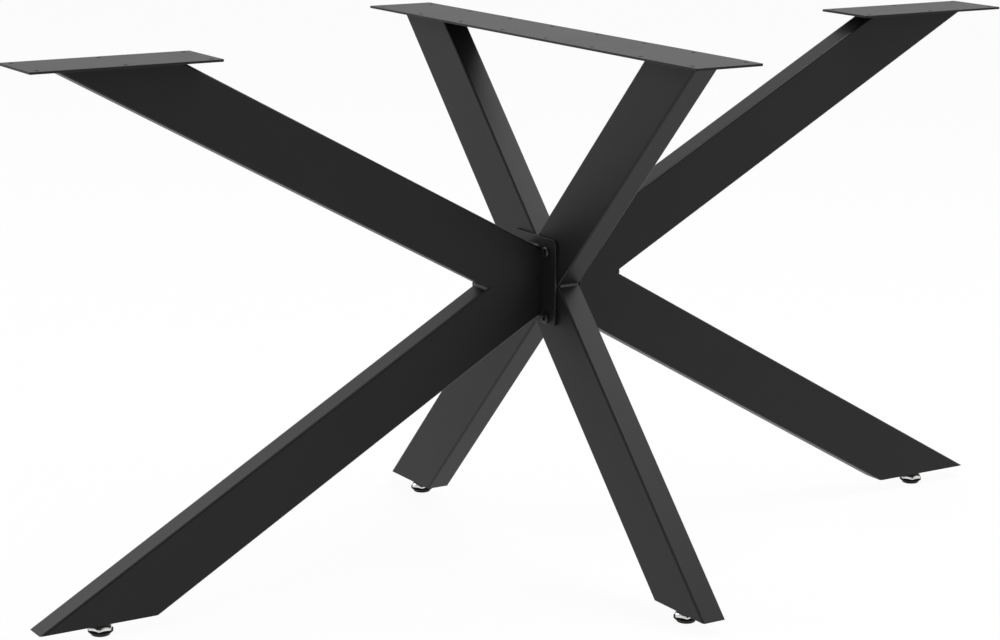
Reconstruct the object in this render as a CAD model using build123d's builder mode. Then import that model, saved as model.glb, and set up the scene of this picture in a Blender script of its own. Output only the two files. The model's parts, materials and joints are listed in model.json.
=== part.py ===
from build123d import *
import os
from math import atan2, cos, radians, sin, tan

# A welded and bolted steel base for a dining table. An upright cross of rectangular tube stands
# across the table's middle, and a sideways V of the same tube is bolted to each of its faces.
# The upper arms carry flat screw plates and the lower arms stand on levelling feet.
# X runs along the table, Y across it, Z up; the origin is on the floor under the middle.

# Heights above the floor
overall_height = 720
sole_height = 17.5
mitre_height = 387.5

# Rectangular tube, the same for every arm
tube_width = 80
tube_thickness = 35
tube_wall = 2
tube_bore_radius = 1

# Reach of the arms' outer edges from the middle, along the table and across it
side_notch = 103
side_upper_reach = 710
side_lower_reach = 749
cross_notch = 54.5
cross_upper_reach = 359
cross_lower_reach = 398

# Screw plates under the table top
plate_thickness = 3
plate_corner = 2
plate_width = 100
cross_plate_length = 800
side_plate_length = 250
side_plate_overhang = 40
screw_hole_diameter = 6
screw_row_spacing = 80
cross_screw_pitch = 108
cross_screw_count = 8
side_screw_pitch = 112.5
side_screw_count = 3

# Flanges of the side halves
flange_width = 108
flange_height = 118
flange_thickness = 3
flange_corner = 8
flange_lift = 3
bolt_spacing_across = 66
bolt_spacing_up = 91
bolt_drop = 2
hole_clearance = 0.5

# Button-head bolts through the flanges
bolt_diameter = 8
bolt_length = 15
bolt_head_diameter = 14
bolt_head_height = 4.4
bolt_head_rounding = 3
bolt_socket_size = 5
bolt_socket_depth = 2.5
thread_chamfer = 1

# Threaded inserts in the walls of the cross
insert_diameter = 11
insert_length = 13
insert_head_diameter = 14
insert_head_thickness = 1
thread_clearance = 0.05
seat_clearance = 0.05

# Sole plates and the nuts welded on them
sole_plate_thickness = 3
sole_plate_gap = 0.1
sole_nut_size = 13
sole_nut_height = 6.5
foot_inset = 7

# Levelling feet
stud_diameter = 8
stud_rise = 24
stud_foot_diameter = 16
stud_foot_thickness = 2.5
shell_hexagon = 28
shell_band_height = 1.5
shell_collar_diameter = 19
shell_wall = 1.2
base_floor_diameter = 25
base_rim_diameter = 32
base_rim_height = 3
base_height = 8
base_edge_radius = 2
foot_seat_gap = 0.2

# Weld beads in the notches
side_bead_depth = 5
side_bead_setback = 0.5
cross_bead_depth = 2
cross_bead_setback = 3

# Worked out from the sizes above
tube_corner = tube_bore_radius + tube_wall
arm_top = overall_height - plate_thickness
bolt_height = mitre_height - bolt_drop
cross_face = tube_thickness / 2
flange_seat = cross_face + insert_head_thickness
flange_face = flange_seat + flange_thickness
side_plate_middle = side_upper_reach + side_plate_overhang - side_plate_length / 2
shell_top = sole_height - foot_seat_gap
stud_seat = shell_top - shell_wall - stud_foot_thickness


class Side:
    """One of the four ways out from the middle, and the lines of its two arms."""

    def __init__(self, name, outward, notch, upper_reach, lower_reach, joint):
        self.name = name
        self.outward = Vector(*outward)
        self.notch = notch
        self.joint = joint
        self.upper_angle = atan2(arm_top - mitre_height, upper_reach - notch)
        self.lower_angle = atan2(sole_height - mitre_height, lower_reach - notch)
        self.reach = max(upper_reach, lower_reach)
        sole_width = tube_width / sin(-self.lower_angle)
        self.foot = self.outward * (lower_reach - sole_width / 2 - foot_inset)

    def upright(self, distance=0):
        """The upright plane along the arms: local x points outwards, local y up."""
        square = self.outward.cross(Vector(0, 0, 1))
        return Plane(origin=self.outward * distance, x_dir=self.outward, z_dir=square)

    def facing(self, distance, height=mitre_height):
        """The upright plane that faces outwards at a height, with local y up."""
        origin = self.outward * distance + Vector(0, 0, height)
        return Plane(origin=origin, x_dir=Vector(0, 0, 1).cross(self.outward), z_dir=self.outward)

    def section(self, angle):
        """The plane square to an arm's tube, centred on it, where its outer edge leaves the notch."""
        inwards = tube_width / 2 if angle > 0 else -tube_width / 2
        middle = (self.notch - inwards * sin(angle), mitre_height + inwards * cos(angle), 0)
        upright = self.upright()
        along = self.outward * cos(angle) + Vector(0, 0, sin(angle))
        return Plane(origin=upright.from_local_coords(middle), x_dir=upright.z_dir, z_dir=along)


def finish(part, name):
    """Names a finished piece and writes it out."""
    part.label = name
    export_step(part, f"parts/{name}.step")


def level(height):
    return Plane.XY.offset(height)


def arm(side, place, end_height):
    """A hollow tube with a level end, a level mitre, and a square cut at the upright joint."""
    angle = side.upper_angle if place == "upper" else side.lower_angle
    with BuildPart() as tube:
        with BuildSketch(side.section(angle)):
            RectangleRounded(tube_thickness, tube_width, tube_corner)
            RectangleRounded(
                tube_thickness - 2 * tube_wall,
                tube_width - 2 * tube_wall,
                tube_bore_radius,
                mode=Mode.SUBTRACT,
            )
        extrude(amount=(side.reach + tube_width) / cos(angle), both=True)
        split(bisect_by=level(max(end_height, mitre_height)), keep=Keep.BOTTOM)
        split(bisect_by=level(min(end_height, mitre_height)), keep=Keep.TOP)
        split(bisect_by=side.facing(side.joint), keep=Keep.TOP)
        if side.joint == 0:
            with BuildSketch(sides["right"].facing(0, bolt_height)):
                with GridLocations(bolt_spacing_across, bolt_spacing_up, 2, 2):
                    Circle(insert_diameter / 2 + seat_clearance)
            extrude(amount=tube_thickness, both=True, mode=Mode.SUBTRACT)
    finish(tube.part, f"{side.name}_{place}_arm")


def notch_weld(side, depth, setback):
    """The bead laid where the two arms' outer edges meet, short of each side by the setback."""
    with BuildPart() as bead:
        with BuildSketch(side.upright()):
            with BuildLine():
                Polyline(
                    (side.notch, mitre_height),
                    (side.notch + depth, mitre_height + depth * tan(side.lower_angle)),
                    (side.notch + depth, mitre_height + depth * tan(side.upper_angle)),
                    close=True,
                )
            make_face()
        extrude(amount=tube_thickness / 2 - setback, both=True)
    finish(bead.part, f"{side.name}_notch_weld")


def screw_plate(name, middle, length_x, width_y, pitch_x, pitch_y, count_x, count_y):
    """A flat plate with a grid of screw holes, its upper face at the full height."""
    with BuildPart() as plate:
        with BuildSketch(level(arm_top)):
            with Locations((middle, 0)):
                RectangleRounded(length_x, width_y, plate_corner)
                with GridLocations(pitch_x, pitch_y, count_x, count_y):
                    Circle(screw_hole_diameter / 2, mode=Mode.SUBTRACT)
        extrude(amount=plate_thickness)
    finish(plate.part, f"{name}_screw_plate")


def flange(side):
    """A plate with rounded corners, welded across the ends of one side half."""
    with BuildPart() as plate:
        with BuildSketch(side.facing(flange_seat)):
            with Locations((0, flange_lift)):
                RectangleRounded(flange_width, flange_height, flange_corner)
        extrude(amount=flange_thickness)
        with BuildSketch(side.facing(flange_seat, bolt_height)):
            with GridLocations(bolt_spacing_across, bolt_spacing_up, 2, 2):
                Circle(bolt_diameter / 2 + hole_clearance)
        extrude(amount=flange_thickness, mode=Mode.SUBTRACT)
    finish(plate.part, f"{side.name}_flange")


def four_at_corners(side, distance, piece, name):
    """Four like fasteners, one at each corner of the flange's bolt pattern."""
    with BuildPart(side.facing(distance, bolt_height)) as group:
        with GridLocations(bolt_spacing_across, bolt_spacing_up, 2, 2):
            add(piece)
    finish(group.part, f"{side.name}_{name}")


def sole_plate(side):
    """A plate inside the mouth of a leg, cut to the slope of the bore, with the stud's hole."""
    with BuildPart() as plate:
        with BuildSketch(side.section(side.lower_angle)):
            RectangleRounded(
                tube_thickness - 2 * (tube_wall + sole_plate_gap),
                tube_width - 2 * (tube_wall + sole_plate_gap),
                tube_bore_radius,
            )
        extrude(amount=2 * side.reach)
        split(bisect_by=level(sole_height + sole_plate_thickness), keep=Keep.BOTTOM)
        split(bisect_by=level(sole_height), keep=Keep.TOP)
        with BuildSketch(Plane(side.foot).offset(sole_height)):
            Circle(stud_diameter / 2 + hole_clearance)
        extrude(amount=sole_plate_thickness, mode=Mode.SUBTRACT)
    finish(plate.part, f"{side.name}_sole_plate")


def sole_nut(side):
    """The hexagon nut welded on the inner face of a sole plate."""
    with BuildPart() as nut:
        with BuildSketch(Plane(side.foot).offset(sole_height + sole_plate_thickness)):
            RegularPolygon(sole_nut_size / 2, 6, major_radius=False)
            Circle(stud_diameter / 2 + thread_clearance, mode=Mode.SUBTRACT)
        extrude(amount=sole_nut_height)
    finish(nut.part, f"{side.name}_sole_nut")


def foot_stud(side):
    """The threaded stud of a foot, with the round flange that the shell holds down."""
    with BuildPart() as stud:
        with BuildSketch(Plane(side.foot).offset(stud_seat)):
            Circle(stud_foot_diameter / 2)
        extrude(amount=stud_foot_thickness)
        with BuildSketch(Plane(side.foot).offset(stud_seat)):
            Circle(stud_diameter / 2)
        extrude(amount=sole_height + stud_rise - stud_seat)
        chamfer(stud.edges().sort_by(Axis.Z)[-1], thread_chamfer)
    finish(stud.part, f"{side.name}_foot_stud")


def foot_shell(side):
    """The pressed cap of a foot: a hexagonal band under turned shoulders, open below."""
    corner = shell_hexagon / 2 / cos(radians(30))
    shoulder = base_height + shell_band_height
    with BuildPart() as shell:
        with BuildSketch(Plane(side.foot).offset(base_height)):
            RegularPolygon(shell_hexagon / 2, 6, major_radius=False)
        extrude(amount=shell_top - base_height)
        with BuildSketch(Plane(side.foot, x_dir=(1, 0, 0), z_dir=(0, -1, 0))):
            with BuildLine():
                Polyline(
                    (0, base_height),
                    (corner, base_height),
                    (corner, shoulder),
                    (shell_collar_diameter / 2, shell_top),
                    (0, shell_top),
                    close=True,
                )
            make_face()
        revolve(axis=Axis(side.foot, (0, 0, 1)), mode=Mode.INTERSECT)
        offset(amount=-shell_wall, openings=shell.faces().sort_by(Axis.Z)[0])
        with BuildSketch(Plane(side.foot).offset(base_height)):
            Circle(stud_diameter / 2 + seat_clearance)
        extrude(amount=shell_top, mode=Mode.SUBTRACT)
    finish(shell.part, f"{side.name}_foot_shell")


def foot_base(side):
    """The moulded base of a foot, tapered to the floor, with a round boss inside the shell."""
    boss = shell_collar_diameter / 2 - shell_wall - seat_clearance
    with BuildPart() as base:
        with BuildSketch(Plane(side.foot, x_dir=(1, 0, 0), z_dir=(0, -1, 0))):
            with BuildLine():
                Polyline(
                    (0, 0),
                    (base_floor_diameter / 2, 0),
                    (base_rim_diameter / 2, base_height - base_rim_height),
                    (base_rim_diameter / 2, base_height),
                    (boss, base_height),
                    (boss, stud_seat),
                    (0, stud_seat),
                    close=True,
                )
            make_face()
        revolve(axis=Axis(side.foot, (0, 0, 1)))
        fillet(base.edges().sort_by(Axis.Z)[0], base_edge_radius)
    finish(base.part, f"{side.name}_foot_base")


os.makedirs("parts", exist_ok=True)
side_arms = (side_notch, side_upper_reach, side_lower_reach, flange_face)
cross_arms = (cross_notch, cross_upper_reach, cross_lower_reach, 0)
sides = {
    "left": Side("left", (-1, 0, 0), *side_arms),
    "right": Side("right", (1, 0, 0), *side_arms),
    "near": Side("near", (0, -1, 0), *cross_arms),
    "far": Side("far", (0, 1, 0), *cross_arms),
}

# Button-head bolt, the underside of its head on z = 0 and its shank below
with BuildPart() as bolt:
    with BuildSketch():
        Circle(bolt_head_diameter / 2)
    extrude(amount=bolt_head_height)
    fillet(bolt.edges().sort_by(Axis.Z)[-1], bolt_head_rounding)
    with BuildSketch():
        Circle(bolt_diameter / 2)
    extrude(amount=-bolt_length)
    chamfer(bolt.edges().sort_by(Axis.Z)[0], thread_chamfer)
    with BuildSketch(level(bolt_head_height)):
        RegularPolygon(bolt_socket_size / 2, 6, major_radius=False)
    extrude(amount=-bolt_socket_depth, mode=Mode.SUBTRACT)

# Threaded insert, the underside of its head on z = 0 and its body below
with BuildPart() as insert:
    with BuildSketch():
        Circle(insert_head_diameter / 2)
    extrude(amount=insert_head_thickness)
    with BuildSketch():
        Circle(insert_diameter / 2)
    extrude(amount=-insert_length)
    with BuildSketch(level(insert_head_thickness)):
        Circle(bolt_diameter / 2 + thread_clearance)
    extrude(amount=-insert_head_thickness - insert_length, mode=Mode.SUBTRACT)

# Arms, soles and feet on all four sides
for side in sides.values():
    arm(side, "upper", arm_top)
    arm(side, "lower", sole_height)
    sole_plate(side)
    sole_nut(side)
    foot_stud(side)
    foot_shell(side)
    foot_base(side)

# Centre cross: its welds and its long screw plate
for name in ("near", "far"):
    notch_weld(sides[name], cross_bead_depth, cross_bead_setback)
screw_plate(
    "cross",
    0,
    plate_width,
    cross_plate_length,
    screw_row_spacing,
    cross_screw_pitch,
    2,
    cross_screw_count,
)

# Side halves: welds, flanges with their fasteners, and short screw plates
for name in ("left", "right"):
    side = sides[name]
    notch_weld(side, side_bead_depth, side_bead_setback)
    flange(side)
    four_at_corners(side, flange_face, bolt.part, "flange_bolts")
    four_at_corners(side, cross_face, insert.part, "threaded_inserts")
    screw_plate(
        name,
        side_plate_middle * side.outward.X,
        side_plate_length,
        plate_width,
        side_screw_pitch,
        screw_row_spacing,
        side_screw_count,
        2,
    )
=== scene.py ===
import json
from math import atan2, ceil, cos, exp, floor, log, pi, radians, sin, sqrt
from random import Random

import bmesh
import bpy
from mathutils import Matrix, Vector


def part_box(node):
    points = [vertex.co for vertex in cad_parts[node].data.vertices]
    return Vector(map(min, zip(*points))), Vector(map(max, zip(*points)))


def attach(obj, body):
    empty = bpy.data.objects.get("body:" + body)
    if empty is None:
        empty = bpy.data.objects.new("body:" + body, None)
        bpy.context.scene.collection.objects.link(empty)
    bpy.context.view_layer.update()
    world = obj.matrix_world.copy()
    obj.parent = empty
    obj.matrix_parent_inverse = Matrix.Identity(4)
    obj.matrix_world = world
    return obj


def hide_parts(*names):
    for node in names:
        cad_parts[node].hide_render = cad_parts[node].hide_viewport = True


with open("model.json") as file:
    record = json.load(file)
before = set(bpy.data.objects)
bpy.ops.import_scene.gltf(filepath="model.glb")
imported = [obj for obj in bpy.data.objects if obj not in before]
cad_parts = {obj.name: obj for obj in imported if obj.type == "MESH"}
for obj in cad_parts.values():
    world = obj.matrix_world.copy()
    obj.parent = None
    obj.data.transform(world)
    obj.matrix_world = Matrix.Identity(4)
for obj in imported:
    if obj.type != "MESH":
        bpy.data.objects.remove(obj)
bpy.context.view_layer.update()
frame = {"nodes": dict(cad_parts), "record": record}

# Arms of the upright centre cross: four lengths of 80 x 35 mm drawn rectangular tube, 2 mm thick,
# sawn to the mitre and to the plate or floor, and welded into two flat Vs back to back.
# The finish is a matt black powder coat, smoother on the rounded edges, which carry painted highlight and
# shade.
up = Vector((0, 0, 1))
outward = {
    "left": Vector((-1, 0, 0)),
    "right": Vector((1, 0, 0)),
    "near": Vector((0, -1, 0)),
    "far": Vector((0, 1, 0)),
}
tube_width = 0.080
tube_wall = 0.002
bore_radius = 0.001
tube_corner_steps = 8
saw_edge_break = 0.0003
hub_edge_break = 0.0008
edge_break_steps = 2
same_place = 1e-6
crease_angle = radians(28)
flat_face_weight = 100
insert_hole_radius = 0.00555
insert_hole_steps = 32
insert_head_radius = 0.007
coat_dark = (0.0060, 0.0061, 0.0063, 1)
coat_light = (0.0105, 0.0106, 0.0109, 1)
coat_painted_highlight = (0.090, 0.090, 0.091, 1)
coat_painted_shade = (0.002, 0.002, 0.002, 1)
coat_roughness = 0.38
edge_smoothness = 0.16
cloud_size = 0.11
mottle_size = 0.012
grain_size = 0.0009
corner_gleam = 0.4
gleam_sharpness = 8


class Shade:
    """A node socket that reads like a number: arithmetic on it adds Math nodes."""

    def __init__(self, tree, socket=None):
        self.tree = tree
        self.socket = socket

    def node(self, kind, settings=None, sockets=None, output=0):
        """Adds any other node: its settings first, then the values or links of its sockets."""
        made = self.tree.nodes.new(kind)
        for name, value in (settings or {}).items():
            setattr(made, name, value)
        for name, value in (sockets or {}).items():
            if isinstance(value, Shade):
                self.tree.links.new(value.socket, made.inputs[name])
            else:
                made.inputs[name].default_value = value
        return Shade(self.tree, made.outputs[output])

    def into(self, node, name):
        """Feeds one socket of a node that is already there."""
        self.tree.links.new(self.socket, node.inputs[name])

    def math(self, operation, first, second):
        """Adds one Math node for two numbers."""
        return self.node("ShaderNodeMath", {"operation": operation}, {0: first, 1: second})

    def __add__(self, other):
        return self.math("ADD", self, other)

    def __sub__(self, other):
        return self.math("SUBTRACT", self, other)

    def __rsub__(self, other):
        return self.math("SUBTRACT", other, self)

    def __mul__(self, other):
        return self.math("MULTIPLY", self, other)

    __radd__ = __add__
    __rmul__ = __mul__

    def between(self, low, high):
        """0 at the low value and beyond it, 1 at the high one and beyond it."""
        sockets = {"Value": self, "From Min": low, "From Max": high}
        return self.node("ShaderNodeMapRange", None, sockets)

    def blend(self, first, second):
        """A colour between two, by this mask."""
        sockets = {0: self, 6: first, 7: second}
        return self.node("ShaderNodeMix", {"data_type": "RGBA"}, sockets, output=2)

    def noise(self, size, detail=2.0, roughness=0.5):
        """Noise over this place, with lumps of about the given size."""
        sockets = {"Vector": self, "Scale": 1 / size, "Detail": detail, "Roughness": roughness}
        return self.node("ShaderNodeTexNoise", None, sockets, output="Fac")

    def bump(self, distance, strength, under=None):
        """A bump with this as its height, over another bump if one is given."""
        sockets = {"Height": self, "Distance": distance, "Strength": strength}
        if under:
            sockets["Normal"] = under
        return self.node("ShaderNodeBump", None, sockets, output="Normal")


def new_finish(name, constants):
    """A material with its constant values on the shader's own sockets, its nodes and that shader."""
    material = bpy.data.materials.new(name)
    material.use_nodes = True
    shader = material.node_tree.nodes["Principled BSDF"]
    for socket, value in constants.items():
        shader.inputs[socket].default_value = value
    return material, Shade(material.node_tree), shader


def powder_coat():
    """Matt black with a fine sandy skin and faint clouds.

    Where rim is above 0 a painted highlight lightens the film, and where it is below 0 a painted shade
    darkens it.
    Both are smoother than the rest.
    """
    material, nodes, shader = new_finish("powder_coat", {"IOR": 1.5, "Specular IOR Level": 0.25})
    place = nodes.node("ShaderNodeTexCoord", output="Object")
    clouds = place.noise(cloud_size, detail=4, roughness=0.6)
    mottle = place.noise(mottle_size, detail=3)
    grains = place.noise(grain_size, detail=2, roughness=0.6)
    rim = nodes.node("ShaderNodeAttribute", {"attribute_name": "rim"}, output="Fac")
    tone = clouds.between(0.3, 0.7) * 0.5 + mottle.between(0.3, 0.7) * 0.2 + grains * 0.3
    film = tone.blend(coat_dark, coat_light)
    # Painted highlight where rim is above 0, painted shade where it is below 0.
    painted_highlight = rim.between(0, 1)
    painted_shade = rim.between(0, -1)
    painted_shade.blend(painted_highlight.blend(film, coat_painted_highlight), coat_painted_shade).into(shader, "Base Color")
    sandy = coat_roughness + clouds * 0.08 + mottle * 0.05 + grains * 0.06
    (sandy - (painted_highlight + painted_shade) * edge_smoothness).into(shader, "Roughness")
    peel = mottle.bump(0.00025, 0.18)
    grains.bump(0.00014, 0.45, under=peel).into(shader, "Normal")
    return material


def add_piece(name, mesh, material, body, nodes=()):
    """Turns a finished bmesh into a piece that rides on a body and stands for its CAD nodes."""
    bmesh.ops.recalc_face_normals(mesh, faces=mesh.faces)
    data = bpy.data.meshes.new(name)
    mesh.to_mesh(data)
    mesh.free()
    data.materials.append(material)
    data.shade_smooth()
    data.set_sharp_from_angle(angle=crease_angle)
    piece = bpy.data.objects.new(name, data)
    bpy.context.scene.collection.objects.link(piece)
    flats = piece.modifiers.new("flat faces", "WEIGHTED_NORMAL")
    flats.keep_sharp = True
    flats.weight = flat_face_weight
    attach(piece, body)
    if nodes:
        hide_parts(*nodes)
    return piece


def reach(node, direction):
    """How near and how far a CAD node lies from the middle, along a direction."""
    return sorted(corner.dot(direction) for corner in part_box(node))


def rounded_rectangle(width, height, radius, steps):
    """Points of a rounded rectangle, with the number of steps in each corner."""
    points = []
    for quarter in range(4):
        start = quarter * pi / 2
        middle_x = (width / 2 - radius) * (1 if quarter in (0, 3) else -1)
        middle_y = (height / 2 - radius) * (1 if quarter in (0, 1) else -1)
        for step in range(steps + 1):
            angle = start + pi / 2 * step / steps
            points.append((middle_x + radius * cos(angle), middle_y + radius * sin(angle)))
    return points


def skin(mesh, first, second, rim=None):
    """Faces between two rings of as many points, with a rim value at each point if rim gives it."""
    layer = mesh.loops.layers.float.get("rim") or mesh.loops.layers.float.new("rim")
    count = len(first)
    for index in range(count):
        after = (index + 1) % count
        face = mesh.faces.new((first[index], first[after], second[after], second[index]))
        if rim:
            for loop in face.loops:
                here = index if loop.vert in (first[index], second[index]) else index + 1
                loop[layer] = rim(index, here)


def slice_off(mesh, point, away):
    """Saws off what lies beyond a plane, closes the cut and returns its outline."""
    geometry = mesh.verts[:] + mesh.edges[:] + mesh.faces[:]
    cut = bmesh.ops.bisect_plane(
        mesh, geom=geometry, dist=same_place, plane_co=point, plane_no=away, clear_outer=True
    )
    edges = [item for item in cut["geom_cut"] if isinstance(item, bmesh.types.BMEdge)]
    bmesh.ops.triangle_fill(mesh, edges=edges, use_beauty=True, normal=away)
    return edges


def break_edges(mesh, edges, offset):
    """Takes the sharpness off edges and returns the narrow faces that this leaves."""
    rounded = bmesh.ops.bevel(
        mesh,
        geom=edges,
        offset=offset,
        segments=edge_break_steps,
        profile=0.5,
        affect="EDGES",
        clamp_overlap=True,
    )
    return rounded["faces"]


class Arm:
    """One arm: the lines of its tube, read from the frame."""

    def __init__(self, side, place):
        self.side = side
        self.place = place
        self.node = f"{side}_{place}_arm"
        self.out = outward[side]
        self.square = self.out.cross(up)
        low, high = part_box(self.node)
        upper = place == "upper"
        self.sign = 1 if upper else -1
        self.mitre = low.z if upper else high.z
        self.end = high.z if upper else low.z
        self.notch = reach(f"{side}_notch_weld", self.out)[0]
        self.hub, self.tip = reach(self.node, self.out)
        self.thickness = abs((high - low).dot(self.square))
        self.angle = atan2(self.end - self.mitre, self.tip - self.notch)
        self.along = self.out * cos(self.angle) + up * sin(self.angle)
        self.inward = self.sign * (up * cos(self.angle) - self.out * sin(self.angle))
        self.centre = self.out * self.notch + up * self.mitre + self.inward * tube_width / 2

    def mesh(self):
        """The hollow tube, sawn level at both ends and square at the hub."""
        mesh = bmesh.new()
        length = 2 * self.tip
        sizes = (
            (self.thickness, tube_width, bore_radius + tube_wall),
            (self.thickness - 2 * tube_wall, tube_width - 2 * tube_wall, bore_radius),
        )
        rings = []
        for width, height, radius in sizes:
            points = rounded_rectangle(width, height, radius, tube_corner_steps)
            for distance in (-length, length):
                middle = self.centre + self.along * distance
                ring = [middle + self.square * x + self.inward * y for x, y in points]
                rings.append([mesh.verts.new(point) for point in ring])

        def on_corner(face, point):
            """Painted highlight above 0 on the middle of a rounded corner, painted shade about -1 on both
            sides of it, 0 on the flats.
            """
            step = face % (tube_corner_steps + 1)
            if step == tube_corner_steps:
                return 0
            turn = pi * (point - face + step) / tube_corner_steps
            return corner_gleam * sin(turn) ** gleam_sharpness - sin(2 * turn) ** 2

        outer_start, outer_end, bore_start, bore_end = rings
        skin(mesh, outer_start, outer_end, on_corner)
        skin(mesh, bore_end, bore_start)
        skin(mesh, bore_start, outer_start)
        skin(mesh, outer_end, bore_end)
        slice_off(mesh, up * self.mitre, -self.sign * up)
        hub_cut = slice_off(mesh, self.out * self.hub, -self.out)
        end_cut = slice_off(mesh, up * self.end, self.sign * up)
        cuts = [(hub_cut, hub_edge_break), (end_cut, saw_edge_break)]
        # The cross's arms are welded to each other at the middle, so no edge is left there.
        if self.hub < self.thickness / 4:
            del cuts[0]
        for outline, offset in cuts:
            edges = []
            for edge in outline:
                if edge.is_valid and any(abs(vert.co.z - self.mitre) > same_place for vert in edge.verts):
                    edges.append(edge)
            break_edges(mesh, edges, offset)
        return mesh


def add_arm(arm):
    """The coated tube of one arm."""
    name = f"{arm.side}_{arm.place}_tube"
    return add_piece(name, arm.mesh(), coat, "frame", [arm.node])


def drill(piece, middle, direction, radius, depth):
    """Drills a round hole through a piece."""
    mesh = bmesh.new()
    turn = direction.to_track_quat("Z", "Y").to_matrix().to_4x4()
    bmesh.ops.create_cone(
        mesh,
        cap_ends=True,
        segments=insert_hole_steps,
        radius1=radius,
        radius2=radius,
        depth=depth,
        matrix=Matrix.Translation(middle) @ turn,
    )
    data = bpy.data.meshes.new("drill")
    mesh.to_mesh(data)
    mesh.free()
    bit = bpy.data.objects.new("drill", data)
    bpy.context.scene.collection.objects.link(bit)
    cut = piece.modifiers.new("hole", "BOOLEAN")
    cut.object = bit
    cut.solver = "EXACT"
    piece.modifiers.move(len(piece.modifiers) - 1, 0)
    bpy.context.view_layer.objects.active = piece
    bpy.ops.object.modifier_apply(modifier=cut.name)
    bpy.data.objects.remove(bit)
    bpy.data.meshes.remove(data)
    piece.data.set_sharp_from_angle(angle=crease_angle)


coat = powder_coat()
arms = {(side, place): Arm(side, place) for side in outward for place in ("upper", "lower")}
insert_low, insert_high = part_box("left_threaded_inserts")
insert_middle = (insert_low + insert_high) / 2
insert_spread_y = (insert_high.y - insert_low.y) / 2 - insert_head_radius
insert_spread_z = (insert_high.z - insert_low.z) / 2 - insert_head_radius
for side in ("near", "far"):
    for place in ("upper", "lower"):
        arm = arms[side, place]
        tube = add_arm(arm)
        middle = arm.out * insert_spread_y + up * (insert_middle.z + arm.sign * insert_spread_z)
        drill(tube, middle, arm.square, insert_hole_radius, 2 * arm.thickness)

# Weld beads of the cross: a short pass of wire in each side notch, across the tube's thickness,
# with the ripples of the moving torch and rounded ends that stop short of the tube's corners.
bead_rows = 10
bead_step = 0.00035
bead_bed = 0.0004
bead_crown_highlight = 0.6
bead_end_share = 0.02
bead_wander = 0.05
wander_pace = 0.7
wander_shift = 5
ripple_length = 0.0021
ripple_height = 0.00022
ripple_lean = 0.45
notch_bead_end = 0.0015
notch_bead_bulge = 0.08
dice = Random(7)


def close_ends(mesh, rings):
    """Closes the first and the last of a row of rings with a flat face."""
    mesh.faces.new(rings[0][::-1])
    mesh.faces.new(rings[-1])


def lay_bead(mesh, corner, across, length, first_leg, second_leg, bulge, end=None):
    """Adds one fillet bead in the corner between two faces, rounded off over its ends."""
    outwards = (first_leg + second_leg).normalized()
    end = end or (first_leg.length + second_leg.length) / 2
    stations = ceil(length / bead_step)
    shift = dice.uniform(0, 1)
    rings = []
    for station in range(stations + 1):
        run = (station / stations - 0.5) * length
        from_end = length / 2 - abs(run)
        fade = 1.0
        if from_end <= end:
            fade = sqrt(max(bead_end_share, 1 - (1 - from_end / end) ** 2))
        wander = 1 + bead_wander * sin(run / ripple_length * wander_pace + wander_shift * shift)
        ring = []
        for row in range(bead_rows + 1):
            share = row / bead_rows
            arch = sin(pi * share)
            turn = run / ripple_length + ripple_lean * arch + shift
            ripple = 1 - abs(2 * (turn - floor(turn)) - 1) ** 2
            base = first_leg * (1 - share) + second_leg * share
            height = bulge * arch + ripple_height * arch * ripple
            ring.append(corner + across * run + base * fade * wander + outwards * height * fade)
        ring.append(corner + across * run - outwards * bead_bed)
        rings.append([mesh.verts.new(point) for point in ring])

    def on_crown(face, point):
        """Painted highlight: greatest along the bead's crown and 0 along its toes."""
        return bead_crown_highlight * max(0, sin(pi * point / bead_rows))

    for before, after in zip(rings, rings[1:]):
        skin(mesh, before, after, on_crown)
    close_ends(mesh, rings)


def add_notch_bead(side):
    """The bead in a side notch, as deep and as long as its CAD solid."""
    node = f"{side}_notch_weld"
    upper = arms[side, "upper"]
    lower = arms[side, "lower"]
    near, far = reach(node, upper.out)
    depth = far - near
    start, stop = reach(node, upper.square)
    corner = upper.out * upper.notch + up * upper.mitre
    first = upper.along * depth / cos(upper.angle)
    second = lower.along * depth / cos(lower.angle)
    bulge = notch_bead_bulge * depth
    mesh = bmesh.new()
    lay_bead(mesh, corner, upper.square, stop - start, first, second, bulge, notch_bead_end)
    add_piece(f"{side}_notch_bead", mesh, coat, "frame", [node])


for side in ("near", "far"):
    add_notch_bead(side)

# Long screw plate of the cross: 3 mm laser-cut steel with two rows of drilled holes for the screws
# into the table top, laid on the upper arms and held by a bead at each narrow face of a tube.
mm_in_metre = 1000
plate_corner_radius = 0.002
plate_corner_steps = 6
plate_edge_break = 0.0004
plate_edge_angle = radians(60)
plate_edge_highlight = 0.8
plate_hole_steps = 32
plate_bead_leg = 0.0045
plate_bead_bulge = 0.0004


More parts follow.
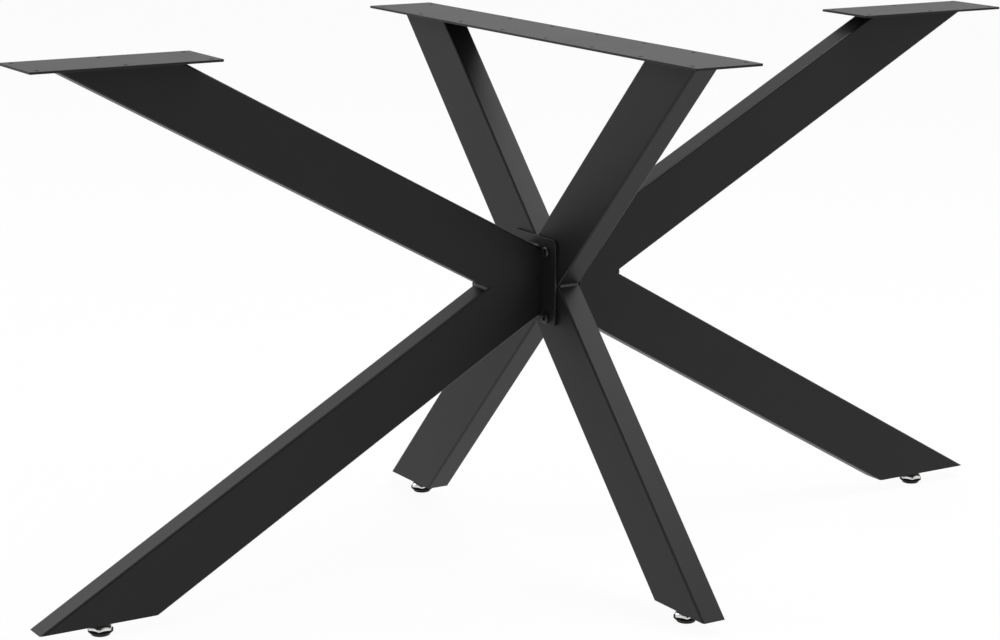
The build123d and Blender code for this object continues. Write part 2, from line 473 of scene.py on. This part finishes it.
def plate_mesh(width, height, thickness, corner, holes, placed):
    """A flat plate with rounded corners and round holes, its lower face on z = 0, then placed."""
    mesh = bmesh.new()
    layer = mesh.loops.layers.float.new("rim")
    loops = [rounded_rectangle(width, height, corner, plate_corner_steps)]
    for x, y, radius in holes:
        angles = [2 * pi * step / plate_hole_steps for step in range(plate_hole_steps)]
        loops.append([(x + radius * cos(angle), y + radius * sin(angle)) for angle in angles])
    edges = []
    for points in loops:
        verts = [mesh.verts.new((x, y, 0)) for x, y in points]
        edges += [mesh.edges.new((verts[index - 1], verts[index])) for index in range(len(verts))]
    bmesh.ops.triangle_fill(mesh, edges=edges, use_beauty=True, normal=(0, 0, -1))
    grown = bmesh.ops.extrude_face_region(mesh, geom=mesh.faces[:])
    raised = [item for item in grown["geom"] if isinstance(item, bmesh.types.BMVert)]
    bmesh.ops.translate(mesh, verts=raised, vec=(0, 0, thickness))
    bmesh.ops.recalc_face_normals(mesh, faces=mesh.faces)
    sharp = [edge for edge in mesh.edges if edge.calc_face_angle(0) > plate_edge_angle]
    # The broken edges along the outline get a painted highlight through the rim value.
    for face in break_edges(mesh, sharp, plate_edge_break):
        middle = face.calc_center_median()
        inwards = min(width / 2 - abs(middle.x), height / 2 - abs(middle.y))
        for loop in face.loops:
            loop[layer] = plate_edge_highlight if inwards < corner else 0
    bmesh.ops.transform(mesh, matrix=placed, verts=mesh.verts)
    return mesh


def screw_holes(start):
    """Places and radii of the holes that the record's screw patterns give for one plate."""
    found = []
    for mount in frame["record"]["mounts"]:
        if mount["kind"] == "bolt_pattern" and mount["name"].startswith(start):
            dims = mount["dims"]
            half_x = dims.get("spacing_x_mm", 0) / 2 / mm_in_metre
            half_y = dims.get("spacing_y_mm", 0) / 2 / mm_in_metre
            for x in {-half_x, half_x}:
                for y in {-half_y, half_y}:
                    found.append((x, y, dims["hole_r_mm"] / mm_in_metre))
    return sorted(found)


def add_screw_plate(name):
    """The plate itself, where its CAD node is."""
    low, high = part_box(f"{name}_screw_plate")
    middle = (low + high) / 2
    size = high - low
    placed = Matrix.Translation((middle.x, middle.y, low.z))
    holes = screw_holes(f"{name}_screws")
    mesh = plate_mesh(size.x, size.y, size.z, plate_corner_radius, holes, placed)
    add_piece(f"{name}_plate", mesh, coat, "frame", [f"{name}_screw_plate"])


def add_plate_beads(side):
    """The two beads across the narrow faces of an upper tube, where it butts against its plate."""
    arm = arms[side, "upper"]
    down = -up
    length = arm.thickness - 2 * (bore_radius + tube_wall)
    mesh = bmesh.new()
    for face_sign in (-1, 1):
        edge_line = arm.centre + arm.inward * face_sign * tube_width / 2
        run = (up * arm.end - edge_line).dot(down) / arm.along.dot(down)
        corner = edge_line + arm.along * run
        on_tube = -arm.along * plate_bead_leg
        on_plate = down.cross(arm.square).normalized() * plate_bead_leg
        if on_plate.dot(arm.inward) * face_sign < 0:
            on_plate.negate()
        lay_bead(mesh, corner, arm.square, length, on_tube, on_plate, plate_bead_bulge)
    add_piece(f"{side}_plate_beads", mesh, coat, "frame")


add_screw_plate("cross")
for side in ("near", "far"):
    add_plate_beads(side)

# Threaded inserts: zinc-plated sleeves pressed into the cross's wide faces, four on each side,
# which the flange bolts screw into. Only the rims of their heads lie outside the tube.
zinc_dark = (0.50, 0.52, 0.54, 1)
zinc_light = (0.66, 0.68, 0.69, 1)
zinc_roughness = 0.22
spangle_size = 0.0016
scratch_size = 0.0004


def zinc_plate():
    """Bright plated steel, with the faint spangle and the scratches of small barrel-plated parts."""
    material, nodes, shader = new_finish("zinc_plate", {"Metallic": 1.0})
    place = nodes.node("ShaderNodeTexCoord", output="Object")
    spangle = place.noise(spangle_size, detail=2)
    scratches = place.noise(scratch_size, detail=3, roughness=0.7)
    spangle.blend(zinc_dark, zinc_light).into(shader, "Base Color")
    (zinc_roughness + spangle * 0.12 + scratches * 0.08).into(shader, "Roughness")
    scratches.bump(0.00004, 0.3).into(shader, "Normal")
    return material


def dress(name, material):
    """Gives a CAD node's own solid a finish."""
    node = frame["nodes"][name]
    if not node.material_slots:
        node.data.materials.append(material)
    for slot in node.material_slots:
        slot.material = material


zinc = zinc_plate()
for side in ("left", "right"):
    dress(f"{side}_threaded_inserts", zinc)

# Arms of the two side halves: the same tube, mitred into a sideways V with a deep notch bead,
# and sawn square where the flange closes both tubes' ends at the hub.
for side in ("left", "right"):
    for place in ("upper", "lower"):
        add_arm(arms[side, place])
    add_notch_bead(side)

# Flanges: 3 mm plates with rounded corners and four clearance holes, welded across the ends of
# each side half by a bead over the upper tube and one under the lower tube.
flange_corner_radius = 0.008
flange_hole_radius = 0.0045
flange_bead_leg = 0.004


def facing(side, place):
    """A frame at a place, with its y axis up and its z axis out from the middle on that side."""
    out = outward[side]
    placed = Matrix((up.cross(out), up, out)).transposed().to_4x4()
    placed.translation = place
    return placed


def add_flange(side):
    """The flange and its two outer beads."""
    out = outward[side]
    low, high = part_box(f"{side}_flange")
    near, far = reach(f"{side}_flange", out)
    middle = (low + high) / 2
    placed = facing(side, out * near + up * middle.z)
    lift = insert_middle.z - middle.z
    holes = []
    for x in (-1, 1):
        for z in (-1, 1):
            holes.append((x * insert_spread_y, lift + z * insert_spread_z, flange_hole_radius))
    size = high - low
    mesh = plate_mesh(size.y, size.z, far - near, flange_corner_radius, holes, placed)
    add_piece(f"{side}_flange_plate", mesh, coat, "frame", [f"{side}_flange"])
    beads = bmesh.new()
    for place in ("upper", "lower"):
        arm = arms[side, place]
        edge_line = arm.centre + arm.inward * tube_width / 2
        run = (arm.hub - edge_line.dot(out)) / arm.along.dot(out)
        corner = edge_line + arm.along * run
        length = arm.thickness - 2 * bore_radius
        on_tube = arm.along * flange_bead_leg
        on_flange = arm.sign * up * flange_bead_leg
        lay_bead(beads, corner, arm.square, length, on_tube, on_flange, plate_bead_bulge)
    add_piece(f"{side}_flange_beads", beads, coat, "frame")


for side in ("left", "right"):
    add_flange(side)

# Flange bolts: M8 button heads of blackened steel, four on each flange, run into the inserts.
# The heads are turned with a domed crown and a broached hexagon, and the shanks are threaded.
bolt_head_radius = 0.007
bolt_head_height = 0.0044
bolt_crown_radius = 0.003
bolt_crown_steps = 8
bolt_edge_ease = 0.0003
bolt_neck = 0.0004
bolt_socket_flat = 0.005
bolt_socket_depth = 0.0025
bolt_socket_point = 0.0006
bolt_socket_sharpness = 60
bolt_radius = 0.004
bolt_length = 0.015
thread_pitch = 0.00125
thread_depth = 0.0007
thread_chamfer = 1.2
thread_rows = 6
round_steps = 60
oxide_dark = (0.020, 0.020, 0.022, 1)
oxide_light = (0.055, 0.054, 0.056, 1)
oxide_roughness = 0.24
smear_size = 0.003
grit_size = 0.0004


def black_oxide():
    """Blackened steel with a slight oily shine and faint turning marks."""
    material, nodes, shader = new_finish("black_oxide", {"Metallic": 0.85, "IOR": 1.6})
    place = nodes.node("ShaderNodeTexCoord", output="Object")
    smears = place.noise(smear_size, detail=3)
    grit = place.noise(grit_size, detail=2)
    smears.blend(oxide_dark, oxide_light).into(shader, "Base Color")
    (oxide_roughness + smears * 0.16 + grit * 0.05).into(shader, "Roughness")
    grit.bump(0.00004, 0.3).into(shader, "Normal")
    return material


def hexagon(flat, angle, sharpness):
    """Radius at an angle of a hexagon of a width across flats, with slightly eased corners."""
    total = sum(max(0, cos(angle - pi / 6 - pi / 3 * face)) ** sharpness for face in range(6))
    return flat / 2 / total ** (1 / sharpness)


def turned(mesh, stations, placed):
    """Skins a turned form: each station gives a height and a radius, plain or by the angle."""
    rings = []
    for height, radius in stations:
        ring = []
        for step in range(round_steps):
            angle = 2 * pi * step / round_steps
            size = radius(angle) if callable(radius) else radius
            point = Vector((size * cos(angle), size * sin(angle), height))
            ring.append(mesh.verts.new(placed @ point))
        rings.append(ring)
    for before, after in zip(rings, rings[1:]):
        skin(mesh, before, after)
    return rings


def thread_stations(low, high, radius, chamfer_low, chamfer_high):
    """Stations of a threaded shank that runs out into a chamfer at each end that has one."""
    count = ceil((high - low) / thread_pitch * thread_rows)
    stations = []
    for row in range(count + 1):
        height = low + (high - low) * row / count
        limit = radius
        if chamfer_low:
            limit = min(limit, radius - thread_depth * thread_chamfer + (height - low))
        if chamfer_high:
            limit = min(limit, radius - thread_depth * thread_chamfer + (high - height))

        def ridge(angle, height=height, limit=limit):
            turn = height / thread_pitch - angle / (2 * pi)
            return min(limit, radius - thread_depth * abs(2 * (turn - floor(turn)) - 1))

        stations.append((height, ridge))
    return stations


def bolt_stations():
    """A bolt from the tip of its thread up over the crown of its head and down into the socket."""
    stations = thread_stations(-bolt_length, -bolt_neck, bolt_radius, True, False)
    stations += [
        (0, bolt_radius),
        (0, bolt_head_radius - bolt_edge_ease),
        (bolt_edge_ease, bolt_head_radius),
    ]
    shoulder = bolt_head_height - bolt_crown_radius
    for step in range(bolt_crown_steps + 1):
        angle = pi / 2 * step / bolt_crown_steps
        radius = bolt_head_radius - bolt_crown_radius * (1 - cos(angle))
        stations.append((shoulder + bolt_crown_radius * sin(angle), radius))
    socket_floor = bolt_head_height - bolt_socket_depth
    for height, flat in (
        (bolt_head_height, bolt_socket_flat + 2 * bolt_edge_ease),
        (bolt_head_height - bolt_edge_ease, bolt_socket_flat),
        (socket_floor, bolt_socket_flat),
        (socket_floor - bolt_socket_point, bolt_socket_flat / 3),
    ):
        stations.append((height, lambda angle, flat=flat: hexagon(flat, angle, bolt_socket_sharpness)))
    return stations


def add_bolts(side):
    """Four bolts on one flange, each turned by its own chance angle."""
    out = outward[side]
    across = up.cross(out)
    seat = reach(f"{side}_flange", out)[1]
    mesh = bmesh.new()
    for y in (-1, 1):
        for z in (-1, 1):
            spin = Matrix.Rotation(dice.uniform(0, pi / 3), 4, "Z")
            height = insert_middle.z + z * insert_spread_z
            place = out * seat + across * y * insert_spread_y + up * height
            rings = turned(mesh, bolt_stations(), facing(side, place) @ spin)
            close_ends(mesh, rings)
    add_piece(f"{side}_button_bolts", mesh, oxide, "frame", [f"{side}_flange_bolts"])


oxide = black_oxide()
for side in ("left", "right"):
    add_bolts(side)

# Short screw plates of the side halves: the same laser-cut steel, with six holes each, laid on
# the upper arms and held by the same two beads on each tube as the long plate.
for side in ("left", "right"):
    add_screw_plate(side)
    add_plate_beads(side)

# Sole plates and nuts: a steel plate inside the mouth of each leg, and the nut welded on it that
# the foot's stud screws into. Both are out of sight behind the tube's saw cut.
for side in outward:
    dress(f"{side}_sole_plate", coat)
    dress(f"{side}_sole_nut", zinc)

# Levelling feet: a threaded zinc-plated stud, a pressed shell with a hexagonal band for a
# spanner, nickel-plated, and a tapered base moulded in black plastic that stands on the floor.
stud_radius = 0.004
stud_foot_radius = 0.008
stud_foot_thickness = 0.0025
stud_edge_ease = 0.0003
stud_hole_radius = 0.00405
shell_hexagon = 0.028
shell_sharpness = 80
shell_band_height = 0.0015
shell_collar_radius = 0.0095
shell_wall = 0.0012
shell_press_radius = 0.0007
shell_swell = 0.0003
shell_blend = 0.00035
shell_rows = 28
base_rim_height = 0.003
base_floor_radius = 0.0125
base_edge_radius = 0.002
base_edge_steps = 6
base_ease = 0.0001
base_middle_radius = 0.0004
boss_gap = 0.0001
nickel_dark = (0.60, 0.59, 0.57, 1)
nickel_light = (0.78, 0.77, 0.75, 1)
nickel_roughness = 0.05
mark_size = 0.004
drawn_size = 0.0005
plastic_dark = (0.002, 0.002, 0.002, 1)
plastic_light = (0.005, 0.005, 0.005, 1)
plastic_roughness = 0.36
flow_size = 0.006
spark_size = 0.0005


def nickel_plate():
    """Bright nickel over pressed steel, with fine drawn lines and soft handling marks."""
    material, nodes, shader = new_finish("nickel_plate", {"Metallic": 1.0})
    place = nodes.node("ShaderNodeTexCoord", output="Object")
    marks = place.noise(mark_size, detail=3)
    drawn = place.noise(drawn_size, detail=2, roughness=0.6)
    marks.blend(nickel_dark, nickel_light).into(shader, "Base Color")
    (nickel_roughness + marks * 0.06 + drawn * 0.05).into(shader, "Roughness")
    drawn.bump(0.00003, 0.25).into(shader, "Normal")
    return material


def black_plastic():
    """Moulded black plastic with a fine spark-eroded skin."""
    material, nodes, shader = new_finish("black_plastic", {"IOR": 1.46, "Specular IOR Level": 0.08})
    place = nodes.node("ShaderNodeTexCoord", output="Object")
    flow = place.noise(flow_size, detail=3)
    sparks = place.noise(spark_size, detail=2)
    flow.blend(plastic_dark, plastic_light).into(shader, "Base Color")
    (plastic_roughness + flow * 0.10 + sparks * 0.08).into(shader, "Roughness")
    sparks.bump(0.00006, 0.3).into(shader, "Normal")
    return material


def soft_least(first, second, softness):
    """The smaller of two sizes, eased where they are nearly the same."""
    return -softness * log(exp(-first / softness) + exp(-second / softness))


def shell_stations(low, high):
    """The pressed shell, from its open rim up the outside, through the hole and down the inside."""
    corner = shell_hexagon / 2 / cos(radians(30))
    band_top = low + shell_band_height
    outside = []
    for row in range(shell_rows + 1):
        height = low + (high - low) * row / shell_rows
        slope = (height - band_top) / (high - band_top)
        cone = corner - (corner - shell_collar_radius) * slope
        top = high - height

        def press(angle, cone=cone, top=top, shrink=0.0):
            band = hexagon(shell_hexagon, angle, shell_sharpness)
            size = soft_least(band + shell_swell, cone + shell_swell, shell_blend)
            if top < shell_press_radius:
                rise = shell_press_radius - top
                size -= shell_press_radius - sqrt(max(0, shell_press_radius**2 - rise**2))
            return size - shrink

        outside.append((height, press))
    under = high - shell_wall
    inside = []
    for height, press in reversed(outside):
        if height <= under:
            inside.append((height, lambda angle, press=press: press(angle, shrink=shell_wall)))
    through = [(high, stud_hole_radius), (under, stud_hole_radius)]
    return outside + through + [(under, shell_collar_radius - 2 * shell_wall)] + inside


def base_stations(low, rim_top, high, rim_radius, boss_radius):
    """The moulded base: an eased floor edge, a taper out to the rim, and the boss in the shell."""
    stations = [(low, base_middle_radius)]
    for step in range(base_edge_steps + 1):
        angle = pi / 2 * step / base_edge_steps
        radius = base_floor_radius - base_edge_radius + base_edge_radius * sin(angle)
        stations.append((low + base_edge_radius * (1 - cos(angle)), radius))
    rim_low = rim_top - base_rim_height
    stations += [
        (rim_low - 2 * base_ease, rim_radius - 2 * base_ease),
        (rim_low + base_ease, rim_radius),
        (rim_top - 4 * base_ease, rim_radius),
        (rim_top - base_ease, rim_radius - base_ease),
        (rim_top, rim_radius - 4 * base_ease),
        (rim_top, boss_radius),
        (high, boss_radius),
        (high, base_middle_radius),
    ]
    return stations


def add_foot(side):
    """One foot's three pieces, each where its CAD node is."""
    body = f"{side}_foot"
    base_low, base_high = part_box(f"{side}_foot_base")
    shell_low, shell_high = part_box(f"{side}_foot_shell")
    stud_low, stud_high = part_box(f"{side}_foot_stud")
    middle = (base_low + base_high) / 2
    placed = Matrix.Translation((middle.x, middle.y, 0))

    stud = bmesh.new()
    shank_low = stud_low.z + stud_foot_thickness
    stations = [
        (stud_low.z, stud_foot_radius - stud_edge_ease),
        (stud_low.z + stud_edge_ease, stud_foot_radius),
        (shank_low - stud_edge_ease, stud_foot_radius),
        (shank_low, stud_foot_radius - stud_edge_ease),
    ]
    stations += thread_stations(shank_low, stud_high.z, stud_radius, False, True)
    close_ends(stud, turned(stud, stations, placed))
    add_piece(f"{side}_stud", stud, zinc, body, [f"{side}_foot_stud"])

    shell = bmesh.new()
    rings = turned(shell, shell_stations(shell_low.z, shell_high.z), placed)
    skin(shell, rings[-1], rings[0])
    add_piece(f"{side}_shell", shell, nickel, body, [f"{side}_foot_shell"])

    base = bmesh.new()
    rim_radius = (base_high.x - base_low.x) / 2
    boss_radius = shell_collar_radius - shell_wall - boss_gap
    stations = base_stations(base_low.z, shell_low.z, base_high.z, rim_radius, boss_radius)
    close_ends(base, turned(base, stations, placed))
    add_piece(f"{side}_base", base, plastic, body, [f"{side}_foot_base"])


nickel = nickel_plate()
plastic = black_plastic()
for side in outward:
    add_foot(side)

# Studio: a white floor that runs out of the picture, a white surround that opens on the darker room
# at the front left, and three soft lamps: the main one nearly overhead, one behind at the left and
# a weak one in front at the left.
floor_half = 30.0
floor_squares = 8
floor_dark = (0.84, 0.84, 0.84, 1)
floor_light = (0.88, 0.88, 0.88, 1)
floor_white = 0.95
paint_size = 0.4
surround_white = 0.95
surround_light = 0.40
room_side = Vector((-0.55, -0.81, 0.20)).normalized()
room_spread = (0.3, 0.8)
room_grey = 0.85
lamp_aim = Vector((0, 0, 0.35))
lamps = (
    ("top lamp", (1.2, -0.6, 3.8), 2.6, 120.0),
    ("back lamp", (-2.4, 3.4, 3.2), 2.4, 60.0),
    ("front lamp", (-3.0, -2.4, 2.0), 1.8, 14.0),
)


def studio_floor():
    """Matt white paint, which the camera sees mostly, and reflections wholly, as plain white."""
    material, nodes, shader = new_finish("studio_floor", {"Roughness": 0.9})
    place = nodes.node("ShaderNodeTexCoord", output="Object")
    paint = place.noise(paint_size, detail=3)
    paint.blend(floor_dark, floor_light).into(shader, "Base Color")
    seen = nodes.node("ShaderNodeLightPath", output="Is Camera Ray")
    mirrored = nodes.node("ShaderNodeLightPath", output="Is Glossy Ray")
    white = nodes.node("ShaderNodeEmission", None, {"Color": (1, 1, 1, 1), "Strength": 1.0})
    tree = material.node_tree
    mix = tree.nodes.new("ShaderNodeMixShader")
    nodes.math("MAXIMUM", seen * floor_white, mirrored).into(mix, "Fac")
    tree.links.new(shader.outputs["BSDF"], mix.inputs[1])
    tree.links.new(white.socket, mix.inputs[2])
    tree.links.new(mix.outputs["Shader"], tree.nodes["Material Output"].inputs["Surface"])
    return material


def white_surround():
    """White to the camera, white but for the room behind the camera in reflections, softer as light."""
    world = bpy.data.worlds.new("surround")
    world.use_nodes = True
    bpy.context.scene.world = world
    nodes = Shade(world.node_tree)
    seen = nodes.node("ShaderNodeLightPath", output="Is Camera Ray")
    mirrored = nodes.node("ShaderNodeLightPath", output="Is Glossy Ray")
    through = nodes.node("ShaderNodeLightPath", output="Is Transmission Ray")
    backdrop = world.node_tree.nodes["Background"]
    backdrop.inputs["Color"].default_value = (1, 1, 1, 1)
    direction = nodes.node("ShaderNodeTexCoord", output="Generated")
    facing_room = nodes.node(
        "ShaderNodeVectorMath", {"operation": "DOT_PRODUCT"}, {0: direction, 1: room_side}, output="Value"
    )
    white = nodes.math("MAXIMUM", seen, through)
    shine = mirrored * (surround_white - facing_room.between(*room_spread) * room_grey)
    light = (1 - nodes.math("MAXIMUM", white, mirrored)) * surround_light
    (nodes.math("MAXIMUM", white, shine) + light).into(backdrop, "Strength")


def add_floor():
    """The floor, which stays where it is at every pose."""
    mesh = bmesh.new()
    bmesh.ops.create_grid(mesh, x_segments=floor_squares, y_segments=floor_squares, size=floor_half)
    data = bpy.data.meshes.new("floor")
    mesh.to_mesh(data)
    mesh.free()
    ground = bpy.data.objects.new("floor", data)
    data.materials.append(studio_floor())
    bpy.context.scene.collection.objects.link(ground)


def add_lamps():
    """Square lamps that all point at the middle of the base."""
    for name, place, size, power in lamps:
        lamp = bpy.data.lights.new(name, "AREA")
        lamp.shape = "SQUARE"
        lamp.size = size
        lamp.energy = power
        holder = bpy.data.objects.new(name, lamp)
        holder.location = place
        aim = lamp_aim - holder.location
        holder.rotation_mode = "QUATERNION"
        holder.rotation_quaternion = aim.to_track_quat("-Z", "Y")
        bpy.context.scene.collection.objects.link(holder)


white_surround()
add_floor()
add_lamps()

# Camera: above the floor at the front left corner, looking a little down along the base.
# Its place, its turns and its long lens were worked out from the base's straight edges.
camera_place = Vector((-1.86854, -2.88551, 1.11844))
camera_yaw = radians(31.88)
camera_pitch = radians(-12.95)
camera_roll = radians(0.38)
camera_lens = 93.42
camera_sensor = 36
camera_range = 200
forward_x = sin(camera_yaw) * cos(camera_pitch)
forward_y = cos(camera_yaw) * cos(camera_pitch)
forward = Vector((forward_x, forward_y, sin(camera_pitch)))
level_right = Vector((cos(camera_yaw), -sin(camera_yaw), 0))
level_up = level_right.cross(forward)
right = level_right * cos(camera_roll) + level_up * sin(camera_roll)
upward = level_up * cos(camera_roll) - level_right * sin(camera_roll)
lens = bpy.data.cameras.new("camera")
lens.sensor_width = camera_sensor
lens.lens = camera_lens
lens.clip_end = camera_range
viewer = bpy.data.objects.new("camera", lens)
turned_camera = Matrix((right, upward, -forward)).transposed().to_4x4()
viewer.matrix_world = Matrix.Translation(camera_place) @ turned_camera
bpy.context.scene.collection.objects.link(viewer)
bpy.context.scene.camera = viewer
bpy.context.scene.view_settings.view_transform = "Standard"
